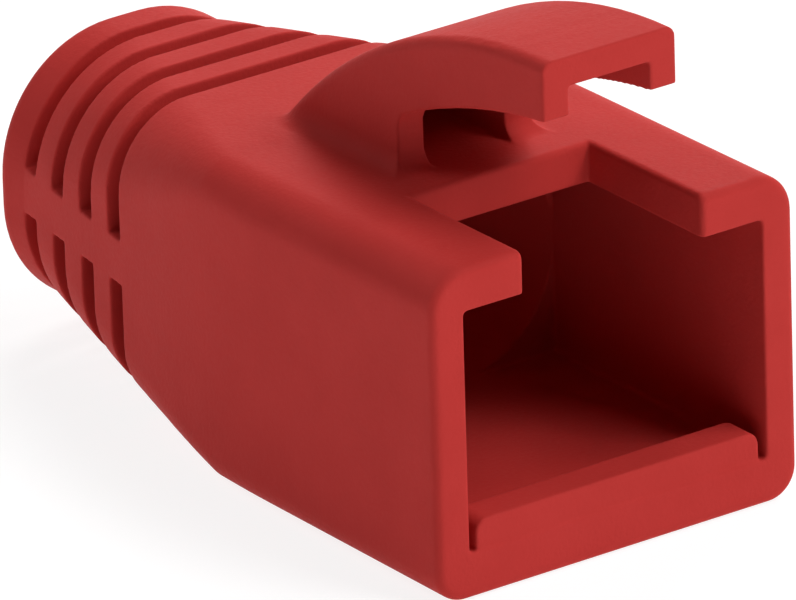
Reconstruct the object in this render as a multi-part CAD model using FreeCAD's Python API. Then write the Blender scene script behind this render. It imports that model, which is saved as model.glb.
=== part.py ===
import FreeCAD, Part
import math
import os

# RJ45 strain relief boot: one soft moulding that slides on to a modular plug and its cable.
# Frame: +Z up, the mouth faces -Y, the cable leaves along +Y, origin under the centre of the boot.
# While it is built, y is measured from the mouth plane towards the cable end.

Vector = FreeCAD.Vector

# ---- driving dimensions, mm ----
plug_width = 11.68            # modular plug body that the pocket takes
plug_side_clearance = 0.08    # each side
plug_height = 8.3
plug_height_clearance = 0.05
side_wall = 1.25
floor_wall = 1.6
roof_wall = 1.47
pocket_corner = 0.15          # inner corner radius along the pocket
pocket_depth = 11.5           # straight part of the pocket

length = 27.57                # mouth plane to cable end
shoulder = 12.83              # from here the housing draws in towards the neck
roof_drop = 0.12              # the roof's slight fall from the mouth to the shoulder
mouth_corner_top = 1.4
mouth_corner_bottom = 1.1
rim_radius = 0.3              # outer edge of the mouth

cable_diameter = 8.0
neck_wall_side = 1.16
neck_wall_top = 0.85
neck_axis = 5.37              # cable axis above the underside
neck_corner_top = 4.6
neck_corner_bottom = 4.1
bore_length = 10.4            # cylindrical bore through the neck and the collar
funnel_step = 0.15            # shoulder between the funnel and the bore
collar_radius = 0.65          # outer edge of the cable end

slot_count = 4
slot_gap = 0.85
slot_rib = 1.25
collar_length = 1.7           # solid ring behind the last slot
spine_height = 1.6            # web left on each side between the upper and lower slots
spine_lift = 0.26             # spine centre above the cable axis

notch_width = 7.04            # latch notch in the roof
notch_depth = 6.1
notch_radius = 0.2            # upper edges of the notch

hood_width = 5.25
hood_top = 17.55              # top of the hood at the mouth plane
hood_reach = 14.55            # where its back meets the roof
hood_radius = 20.0            # arch of its top, seen from the side
hood_crown = 1.03             # thickness of its top
hood_side = 1.03              # thickness of its side walls
hood_edge = 0.4               # rounding of its long upper edges
leg_height = 15.54            # lower edge of the side walls at the mouth plane
gap_depth = 7.98              # back of the open gap under the side walls
gap_end_height = 1.85         # height of the gap at its back
gap_radius = 25.0             # arch of the gap's upper edge
gap_end_radius = 0.7
root_radius = 0.7             # blend between the hood and the roof

sill_height = 1.05            # ridge across the pocket's floor, just inside the mouth
sill_setback = 0.05
sill_depth = 1.3
sill_end_gap = 0.3
sill_end_radius = 0.45

overshoot = 1.0               # how far cutters run past the faces they open

# ---- sizes that follow ----
pocket_width = plug_width + 2 * plug_side_clearance
pocket_height = plug_height + plug_height_clearance
mouth_width = pocket_width + 2 * side_wall
ceiling = floor_wall + pocket_height
mouth_height = ceiling + roof_wall
bore_radius = cable_diameter / 2
neck_half_width = bore_radius + neck_wall_side
neck_half_height = bore_radius + neck_wall_top
slot_pitch = slot_gap + slot_rib
collar_front = length - collar_length
funnel_end = length - bore_length
tolerance = 1e-4


def blend(start, end, share):
    return start + (end - start) * share


def neck_share(y):
    """How far y lies between the shoulder and the collar, from 0 to 1."""
    return min(1.0, max(0.0, (y - shoulder) / (collar_front - shoulder)))


def roof_at(y):
    shoulder_height = mouth_height - roof_drop
    if y < shoulder:
        return blend(mouth_height, shoulder_height, y / shoulder)
    return blend(shoulder_height, neck_axis + neck_half_height, neck_share(y))


def corner_arc(centre_x, centre_z, radius, from_degrees, y):
    """Quarter circle in the plane y, counter-clockwise from the given angle."""
    points = []
    for step in (0, 45, 90):
        angle = math.radians(from_degrees + step)
        points.append(Vector(centre_x + radius * math.cos(angle), y, centre_z + radius * math.sin(angle)))
    return Part.Arc(*points).toShape()


def rounded_section(y, half_width, bottom, top, corner_bottom, corner_top):
    """Four corner arcs and the four straight sides between them, in the plane y, end to end."""
    corners = [
        corner_arc(half_width - corner_top, top - corner_top, corner_top, 0, y),
        corner_arc(corner_top - half_width, top - corner_top, corner_top, 90, y),
        corner_arc(corner_bottom - half_width, bottom + corner_bottom, corner_bottom, 180, y),
        corner_arc(half_width - corner_bottom, bottom + corner_bottom, corner_bottom, 270, y),
    ]
    edges = []
    for index, corner in enumerate(corners):
        following = corners[(index + 1) % len(corners)]
        edges.append(corner)
        edges.append(Part.makeLine(corner.Vertexes[-1].Point, following.Vertexes[0].Point))
    return edges


def outer_section(y):
    share = neck_share(y)
    half_width = blend(mouth_width / 2, neck_half_width, share)
    bottom = blend(0.0, neck_axis - neck_half_height, share)
    corner_bottom = blend(mouth_corner_bottom, neck_corner_bottom, share)
    corner_top = blend(mouth_corner_top, neck_corner_top, share)
    return rounded_section(y, half_width, bottom, roof_at(y), corner_bottom, corner_top)


def tapered_solid(sections):
    """Solid through the sections: flat sides between straight edges, ruled or swept ones between arcs."""
    faces = [Part.Face(Part.Wire(sections[0])), Part.Face(Part.Wire(sections[-1]))]
    for near, far in zip(sections, sections[1:]):
        for first, second in zip(near, far):
            if isinstance(first.Curve, Part.Line):
                corners = [first.Vertexes[0].Point, first.Vertexes[1].Point,
                           second.Vertexes[1].Point, second.Vertexes[0].Point]
                faces.append(Part.Face(Part.makePolygon(corners + corners[:1])))
            elif abs(first.Curve.Radius - second.Curve.Radius) < tolerance:
                faces.append(first.extrude(second.Vertexes[0].Point - first.Vertexes[0].Point))
            else:
                faces.append(Part.makeRuledSurface(first, second))
    shell = Part.makeShell(faces)
    shell.sewShape()
    solid = Part.makeSolid(shell)
    if solid.Volume < 0:
        solid.reverse()
    return solid


def straight_solid(section, depth):
    return Part.Face(Part.Wire(section)).extrude(Vector(0, depth, 0))


def edges_where(shape, test):
    return [edge for edge in shape.Edges if test(edge.BoundBox)]


def in_plane_y(y):
    return lambda bounds: abs(bounds.YMin - y) < tolerance and abs(bounds.YMax - y) < tolerance


def box(half_width, y_from, y_to, z_from, z_to):
    """Box centred on x = 0."""
    return Part.makeBox(2 * half_width, y_to - y_from, z_to - z_from, Vector(-half_width, y_from, z_from))


def arch_centre(front_z, back_y, back_z, radius):
    """Centre (y, z) of an arch of the given radius from (0, front_z) to (back_y, back_z)."""
    chord = math.hypot(back_y, front_z - back_z)
    drop = math.sqrt(radius ** 2 - (chord / 2) ** 2)
    middle_y = back_y / 2
    middle_z = (front_z + back_z) / 2
    return middle_y - drop * (front_z - back_z) / chord, middle_z - drop * back_y / chord


def arch_roll(centre, radius, half_width):
    """Cylinder across the boot whose upper side is the arch."""
    centre_y, centre_z = centre
    return Part.makeCylinder(radius, 2 * half_width, Vector(-half_width, centre_y, centre_z), Vector(1, 0, 0))


# ---- housing ----
def make_housing(hood):
    """Housing, neck and collar, with the hood standing on the roof."""
    block = tapered_solid([outer_section(0.0), outer_section(shoulder)])
    block = block.makeFillet(rim_radius, edges_where(block, in_plane_y(0.0)))
    neck = tapered_solid([outer_section(shoulder), outer_section(collar_front)])
    collar = straight_solid(outer_section(collar_front), collar_length)
    collar = collar.makeFillet(collar_radius, edges_where(collar, in_plane_y(length)))
    return block.fuse(hood).fuse([neck, collar]).removeSplitter()


def make_cavity():
    """Plug pocket, funnel and cable bore as one solid, to be cut from the housing."""
    half_width = pocket_width / 2
    funnel_half = bore_radius + funnel_step
    pocket = straight_solid(rounded_section(-overshoot, half_width, floor_wall, ceiling,
                                            pocket_corner, pocket_corner), overshoot + pocket_depth)
    funnel = tapered_solid([
        rounded_section(pocket_depth, half_width, floor_wall, ceiling, bore_radius, bore_radius),
        rounded_section(funnel_end, funnel_half, neck_axis - funnel_half, neck_axis + funnel_half,
                        bore_radius, bore_radius)])
    bore = Part.makeCylinder(bore_radius, bore_length + 2 * overshoot,
                             Vector(0, funnel_end - overshoot, neck_axis), Vector(0, 1, 0))
    return pocket.fuse([funnel, bore])


def make_notch():
    return box(notch_width / 2, -overshoot, notch_depth, ceiling - overshoot, mouth_height + overshoot)


def notch_upper_edges(shape):
    """Edges of the roof's upper face along both sides and the back of the notch."""
    half_width = notch_width / 2
    found = []
    for edge in shape.Edges:
        bounds = edge.BoundBox
        upper = bounds.ZMin > roof_at(notch_depth) - tolerance and bounds.ZMax < mouth_height + tolerance
        side = abs(abs(bounds.XMin) - half_width) < tolerance and bounds.XLength < tolerance
        if upper and (side or in_plane_y(notch_depth)(bounds)):
            found.append(edge)
    return found


def make_slots():
    """Plates that cut the neck's wall above and below the side spines."""
    spine_centre = neck_axis + spine_lift
    reach = mouth_width
    plates = []
    for index in range(slot_count):
        start = collar_front - slot_gap - index * slot_pitch
        plates.append(box(reach, start, start + slot_gap, spine_centre + spine_height / 2, 2 * mouth_height))
        plates.append(box(reach, start, start + slot_gap, -mouth_height, spine_centre - spine_height / 2))
    return plates


# ---- latch hood ----
def make_hood():
    """Arched hood, open below and at the front, hollow between its two side walls."""
    half_width = hood_width / 2
    sink = mouth_height - roof_wall / 2
    centre = arch_centre(hood_top, hood_reach, roof_at(hood_reach), hood_radius)
    body = arch_roll(centre, hood_radius, half_width).common(box(half_width, 0.0, hood_reach, sink, 2 * hood_top))
    body = body.makeFillet(hood_edge, edges_where(body, lambda bounds: bounds.ZMax > hood_top - tolerance
                                                  and bounds.YLength > hood_edge))
    channel = arch_roll(centre, hood_radius - hood_crown, half_width).common(
        box(half_width - hood_side, -overshoot, 2 * hood_reach, sink, 2 * hood_top))
    gap_centre = arch_centre(leg_height, gap_depth, mouth_height + gap_end_height, gap_radius)
    gap = arch_roll(gap_centre, gap_radius, hood_width).common(
        box(hood_width, -overshoot, gap_depth, sink, 2 * hood_top))
    gap = gap.makeFillet(gap_end_radius, edges_where(
        gap, lambda bounds: in_plane_y(gap_depth)(bounds) and bounds.ZMin > mouth_height + tolerance
        and bounds.XLength > hood_width))
    return body.cut([channel, gap])


def make_sill():
    """Low ridge with rounded upper corners across the pocket's floor."""
    half_width = pocket_width / 2 - sill_end_gap
    bottom = floor_wall / 2
    top = floor_wall + sill_height
    slab = box(half_width, sill_setback, sill_setback + sill_depth, bottom, top)
    return slab.makeFillet(sill_end_radius, edges_where(slab, lambda bounds: bounds.ZMin > top - tolerance
                                                        and bounds.XLength < tolerance))


def root_edges(shape):
    """Lower edges of the hood's outer sides and of its two stems, where they meet the roof."""
    half_width = hood_width / 2
    found = []
    for edge in shape.Edges:
        bounds = edge.BoundBox
        low = bounds.ZMax < mouth_height + tolerance and bounds.ZMin > roof_at(hood_reach) - tolerance
        outer = abs(abs(bounds.XMin) - half_width) < tolerance and bounds.XLength < tolerance
        front = in_plane_y(gap_depth)(bounds) and bounds.XLength < hood_side + tolerance
        if low and bounds.ZLength < roof_wall / 2 and (outer or front):
            found.append(edge)
    return found


def make_boot():
    boot = make_housing(make_hood())
    boot = boot.makeFillet(root_radius, root_edges(boot))
    boot = boot.cut([make_cavity(), make_notch()] + make_slots())
    boot = boot.makeFillet(notch_radius, notch_upper_edges(boot))
    boot = boot.fuse(make_sill()).removeSplitter()
    boot.translate(Vector(0, -length / 2, 0))
    return boot


boot = make_boot()
if len(boot.Solids) != 1 or not boot.isValid():
    raise SystemExit("the boot is not one valid solid")
os.makedirs("parts", exist_ok=True)
boot.Solids[0].exportStep("parts/strain_relief_boot.step")
print("boot volume", round(boot.Volume, 1))
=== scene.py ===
import bmesh
import bpy
import math
import numpy
from mathutils import Matrix, Vector


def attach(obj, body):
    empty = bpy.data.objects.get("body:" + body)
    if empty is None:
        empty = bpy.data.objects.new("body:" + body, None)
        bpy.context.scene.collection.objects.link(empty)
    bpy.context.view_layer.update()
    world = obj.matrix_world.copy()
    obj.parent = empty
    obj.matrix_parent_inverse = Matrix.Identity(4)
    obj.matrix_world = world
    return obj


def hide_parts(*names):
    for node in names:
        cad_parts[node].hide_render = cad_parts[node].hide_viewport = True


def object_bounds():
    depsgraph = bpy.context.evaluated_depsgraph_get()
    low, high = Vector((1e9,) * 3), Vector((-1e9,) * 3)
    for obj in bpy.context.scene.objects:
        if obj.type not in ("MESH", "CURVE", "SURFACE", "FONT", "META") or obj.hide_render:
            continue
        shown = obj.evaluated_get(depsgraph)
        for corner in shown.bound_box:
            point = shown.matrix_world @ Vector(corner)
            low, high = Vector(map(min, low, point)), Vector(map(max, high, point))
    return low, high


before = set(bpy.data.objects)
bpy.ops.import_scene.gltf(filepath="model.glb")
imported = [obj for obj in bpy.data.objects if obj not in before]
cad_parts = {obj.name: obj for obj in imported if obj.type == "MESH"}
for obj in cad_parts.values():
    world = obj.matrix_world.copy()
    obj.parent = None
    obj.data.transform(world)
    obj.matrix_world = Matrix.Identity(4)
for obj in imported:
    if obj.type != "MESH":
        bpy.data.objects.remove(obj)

# Soft red boot for a modular plug and its cable, dressed around the CAD solid.
# The mouth faces -Y, the cable leaves along +Y, the latch hood is on top.

mm = 0.001   # Blender works in metres, and most sizes below are written in mm
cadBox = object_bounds()
cadSides = [round(side / mm, 2) for side in cadBox[1] - cadBox[0]]
print("frame loaded, the boot measures", cadSides, "mm")


def newTree(owner):
    owner.use_nodes = True
    owner.node_tree.nodes.clear()
    return owner.node_tree


def addNode(tree, kind, sockets=None, **settings):
    node = tree.nodes.new(kind)
    for name, value in settings.items():
        setattr(node, name, value)
    for name, value in (sockets or {}).items():
        node.inputs[name].default_value = value
    return node


noiseMiddle = (0.3, 0.7)   # nearly all of a noise lies between these
noiseCrisp = 0.55          # how strongly a noise's finer detail shows


# stretches the middle of a noise to run from low to high
def spread(tree, source, low, high):
    node = addNode(tree, "ShaderNodeMapRange", {"To Min": low, "To Max": high})
    node.inputs["From Min"].default_value, node.inputs["From Max"].default_value = noiseMiddle
    tree.links.new(source, node.inputs["Value"])
    return node.outputs["Result"]


# a layer's size is the length of its grains in mm on each axis
def noise(tree, layer):
    place = addNode(tree, "ShaderNodeTexCoord")
    scaled = addNode(tree, "ShaderNodeMapping", {"Location": (layer["seed"], 0, 0)})
    scaled.inputs["Scale"].default_value = [1 / (side * mm) for side in layer["size"]]
    tree.links.new(place.outputs["Object"], scaled.inputs["Vector"])
    grain = addNode(tree, "ShaderNodeTexNoise", {
        "Scale": 1.0, "Detail": layer["detail"], "Roughness": noiseCrisp})
    tree.links.new(scaled.outputs["Vector"], grain.inputs["Vector"])
    return grain.outputs["Fac"]


def bump(tree, height, depth, under=None):
    node = addNode(tree, "ShaderNodeBump", {"Strength": 1.0, "Distance": depth * mm})
    tree.links.new(height, node.inputs["Height"])
    if under:
        tree.links.new(under, node.inputs["Normal"])
    return node.outputs["Normal"]


# soft PVC straight from the mould: matt, finely grained, a little cloudy in its pigment
plastic = {
    "colour": (0.47, 0.037, 0.033, 1.0),
    "cloud": (0.44, 0.033, 0.029, 1.0),   # where the pigment is a little darker
    "clouds": {"size": (2.6, 2.6, 2.6), "detail": 4.0, "seed": 3.0},
    "relief": [               # depths in mm, the last one also varies the gloss
        # the slow unevenness of a soft moulding
        {"size": (2.2, 2.2, 2.2), "detail": 1.0, "seed": 11.0, "depth": 0.03},
        # fine lines left along the mould's pull
        {"size": (0.22, 9.0, 0.22), "detail": 2.0, "seed": 7.0, "depth": 0.002},
        # the mould's eroded grain
        {"size": (0.16, 0.16, 0.16), "detail": 3.0, "seed": 0.0, "depth": 0.015},
    ],
    "rough": (0.50, 0.62),
    "specular": 0.03,         # soft plastic hardly shines
}


def makePlastic():
    material = bpy.data.materials.new("softRedPlastic")
    tree = newTree(material)
    link = tree.links.new
    pigment = addNode(tree, "ShaderNodeValToRGB")
    for stop, place, name in zip(pigment.color_ramp.elements, noiseMiddle, ("cloud", "colour")):
        stop.position = place
        stop.color = plastic[name]
    link(noise(tree, plastic["clouds"]), pigment.inputs["Fac"])
    relief = None
    for layer in plastic["relief"]:
        height = noise(tree, layer)
        relief = bump(tree, height, layer["depth"], relief)
    surface = addNode(tree, "ShaderNodeBsdfPrincipled", {"Specular IOR Level": plastic["specular"]})
    link(pigment.outputs["Color"], surface.inputs["Base Color"])
    link(spread(tree, height, *plastic["rough"]), surface.inputs["Roughness"])
    link(relief, surface.inputs["Normal"])
    output = addNode(tree, "ShaderNodeOutputMaterial")
    link(surface.outputs["BSDF"], output.inputs["Surface"])
    print("plastic mixed")
    return material


# the body bends in at the shoulder, and soft plastic carries that bend over a few mm
shoulder = {
    "place": -0.955,          # mm along the boot
    "reach": 3.0,             # mm each way
    "sideBend": 0.154,        # change of slope
    "roofBend": 0.0735,
    "sideFrom": 5.5,          # mm from the middle, where the outer sides lie
    "roofFrom": (3.4, 4.4),   # mm from the middle, clear of the hood
    "roofHeight": (10.1, 11.6),   # mm, where the roof lies
}


def easeShoulder(mesh):
    places = numpy.empty(3 * len(mesh.vertices), dtype=numpy.float32)
    normals = numpy.empty(3 * len(mesh.vertices), dtype=numpy.float32)
    mesh.vertices.foreach_get("co", places)
    mesh.vertex_normals.foreach_get("vector", normals)
    across, along, up = places.reshape(-1, 3).T / mm
    outwards, upwards = normals.reshape(-1, 3)[:, ::2].T
    wide = numpy.abs(across)
    side = numpy.sign(across)
    bottom, top = shoulder["roofHeight"]
    near, far = shoulder["roofFrom"]
    # a sharp bend becomes a parabola, which lies inside it
    away = numpy.abs(along - shoulder["place"])
    inward = numpy.clip(shoulder["reach"] - away, 0, None) ** 2 / (4 * shoulder["reach"])
    inward *= up < top
    sides = inward * (wide > shoulder["sideFrom"]) * numpy.clip(outwards * side, 0, None)
    roof = inward * (up > bottom) * numpy.clip(upwards, 0, None)
    across -= shoulder["sideBend"] * sides * side
    up -= shoulder["roofBend"] * roof * numpy.clip((wide - near) / (far - near), 0, 1)
    moved = numpy.stack((across, along, up), axis=1) * mm
    mesh.vertices.foreach_set("co", moved.astype(numpy.float32).ravel())
    mesh.update()
    print("shoulder eased at", int(numpy.count_nonzero(sides + roof)), "places")


# the moulding: the CAD solid with the slightly soft edges of a moulded part
moulding = {
    "name": "boot_moulding",
    "weld": 0.001,            # mm, closes the seams between the solid's faces
    "cell": 0.055,            # mm, fineness of the remesh
    "softPasses": 5,          # each pass rounds the edges a little more
    "softness": 0.5,
    "triangles": 195000,
}


def applyModifiers(piece):
    graph = bpy.context.evaluated_depsgraph_get()
    finished = bpy.data.meshes.new_from_object(piece.evaluated_get(graph))
    piece.modifiers.clear()
    piece.data = finished


def makeMoulding(node, material):
    mesh = node.data.copy()
    mesh.materials.clear()
    piece = bpy.data.objects.new(moulding["name"], mesh)
    bpy.context.scene.collection.objects.link(piece)
    joined = bmesh.new()
    joined.from_mesh(mesh)
    bmesh.ops.remove_doubles(joined, verts=joined.verts, dist=moulding["weld"] * mm)
    joined.to_mesh(mesh)
    joined.free()
    remesh = piece.modifiers.new("remesh", "REMESH")
    remesh.mode = "VOXEL"
    remesh.voxel_size = moulding["cell"] * mm
    soften = piece.modifiers.new("soften", "SMOOTH")
    soften.iterations = moulding["softPasses"]
    soften.factor = moulding["softness"]
    applyModifiers(piece)
    print("moulding softened:", len(piece.data.polygons), "faces")
    easeShoulder(piece.data)
    thin = piece.modifiers.new("thin", "DECIMATE")
    quads = len(piece.data.polygons)
    thin.ratio = min(1.0, moulding["triangles"] / (2 * quads))   # two triangles to a quad
    applyModifiers(piece)
    piece.data.shade_smooth()
    piece.data.materials.append(material)
    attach(piece, "root")
    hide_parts("strain_relief_boot")
    print("moulding finished:", len(piece.data.polygons), "triangles")


# the share of plain white that the eye, reflections and clear parts see in place of the shading
def whiteShare(tree, share):
    path = addNode(tree, "ShaderNodeLightPath")
    total = path.outputs["Is Camera Ray"]
    for name in ("Is Glossy Ray", "Is Transmission Ray"):
        either = addNode(tree, "ShaderNodeMath", operation="MAXIMUM")
        tree.links.new(total, either.inputs[0])
        tree.links.new(path.outputs[name], either.inputs[1])
        total = either.outputs["Value"]
    scaled = addNode(tree, "ShaderNodeMath", {1: share}, operation="MULTIPLY")
    tree.links.new(total, scaled.inputs[0])
    return scaled.outputs["Value"]


# the floor: a pale sheet that shows white and keeps the shadow
floor = {
    "side": 3.0,              # metres
    "drop": 0.01,             # mm, keeps the sheet just clear of the underside
    "colour": (0.8, 0.8, 0.8, 1.0),
    "glow": 0.48,             # light thrown back up from the bright room beyond the boxes
    "seen": 0.3,              # how much of its own shading shows, the rest is plain white
}


def makeFloor():
    half = floor["side"] / 2
    corners = [(-half, -half, 0), (half, -half, 0), (half, half, 0), (-half, half, 0)]
    mesh = bpy.data.meshes.new("floor")
    mesh.from_pydata(corners, [], [(0, 1, 2, 3)])
    sheet = bpy.data.objects.new("floor", mesh)
    sheet.location.z = -floor["drop"] * mm
    bpy.context.scene.collection.objects.link(sheet)
    material = bpy.data.materials.new("paleFloor")
    tree = newTree(material)
    link = tree.links.new
    matt = addNode(tree, "ShaderNodeBsdfDiffuse", {"Color": floor["colour"]})
    glow = addNode(tree, "ShaderNodeEmission", {"Strength": floor["glow"]})
    both = addNode(tree, "ShaderNodeAddShader")
    white = addNode(tree, "ShaderNodeEmission")
    mix = addNode(tree, "ShaderNodeMixShader")
    link(matt.outputs["BSDF"], both.inputs[0])
    link(glow.outputs["Emission"], both.inputs[1])
    link(whiteShare(tree, 1 - floor["seen"]), mix.inputs["Fac"])
    link(both.outputs["Shader"], mix.inputs[1])
    link(white.outputs["Emission"], mix.inputs[2])
    output = addNode(tree, "ShaderNodeOutputMaterial")
    link(mix.outputs["Shader"], output.inputs["Surface"])
    mesh.materials.append(material)
    print("floor laid")


# turn is the angle round from the mouth's side towards +X, lift is the angle above the floor
def towards(turn, lift):
    turn, lift = math.radians(turn), math.radians(lift)
    across = math.cos(lift)
    return Vector((math.sin(turn) * across, -math.cos(turn) * across, math.sin(lift)))


# soft boxes, each aimed at the middle of the boot: degrees, metres and watts
lamps = {
    "frontRight": {"turn": 25, "lift": 40, "distance": 0.6, "side": 0.2, "power": 1.3},
    "highRight": {"turn": 45, "lift": 65, "distance": 0.6, "side": 0.25, "power": 1.45},
    "lowRight": {"turn": 60, "lift": 12, "distance": 0.6, "side": 0.3, "power": 0.6},
    "backRight": {"turn": 130, "lift": 40, "distance": 0.6, "side": 0.3, "power": 1.95},
    "backLeft": {"turn": -140, "lift": 40, "distance": 0.6, "side": 0.3, "power": 0.95},
}


def makeLamps():
    middle = (cadBox[0] + cadBox[1]) / 2
    for name, lamp in lamps.items():
        data = bpy.data.lights.new(name, "AREA")
        data.size = lamp["side"]
        data.energy = lamp["power"]
        light = bpy.data.objects.new(name, data)
        bpy.context.scene.collection.objects.link(light)
        direction = towards(lamp["turn"], lamp["lift"])
        light.location = middle + direction * lamp["distance"]
        light.rotation_mode = "QUATERNION"
        light.rotation_quaternion = (-direction).to_track_quat("-Z", "Y")
    print(len(lamps), "lamps set")


# the room: adds no light of its own, and shows as plain white
room = {"white": 1.0}


def makeRoom():
    world = bpy.data.worlds.new("room")
    bpy.context.scene.world = world
    tree = newTree(world)
    backdrop = addNode(tree, "ShaderNodeBackground", {"Color": (1, 1, 1, 1)})
    tree.links.new(whiteShare(tree, room["white"]), backdrop.inputs["Strength"])
    output = addNode(tree, "ShaderNodeOutputWorld")
    tree.links.new(backdrop.outputs["Background"], output.inputs["Surface"])
    print("room set")


# the camera: a long lens from the front left, looking down
camera = {
    "turn": -35.206,
    "lift": 22.99,
    "roll": -1.715,
    "distance": 0.48862,              # metres
    "aim": (-1.358, -3.745, 5.850),   # mm
    "lens": 683.4,                    # mm
    "sensor": 36.0,                   # mm
    "clip": (0.01, 20.0),             # metres
}


def makeCamera():
    data = bpy.data.cameras.new("camera")
    data.lens = camera["lens"]
    data.sensor_width = camera["sensor"]
    data.clip_start, data.clip_end = camera["clip"]
    eye = bpy.data.objects.new("camera", data)
    bpy.context.scene.collection.objects.link(eye)
    back = towards(camera["turn"], camera["lift"])
    right = Vector((0, 0, 1)).cross(back).normalized()
    level = Matrix((right, back.cross(right), back)).transposed()
    tilt = Matrix.Rotation(math.radians(camera["roll"]), 3, "Z")
    eye.matrix_world = (level @ tilt).to_4x4()
    eye.location = Vector(camera["aim"]) * mm + back * camera["distance"]
    bpy.context.scene.camera = eye
    print("camera set")


bpy.context.scene.view_settings.view_transform = "Standard"
makeCamera()
makeFloor()
makeRoom()
makeLamps()
makeMoulding(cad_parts["strain_relief_boot"], makePlastic())
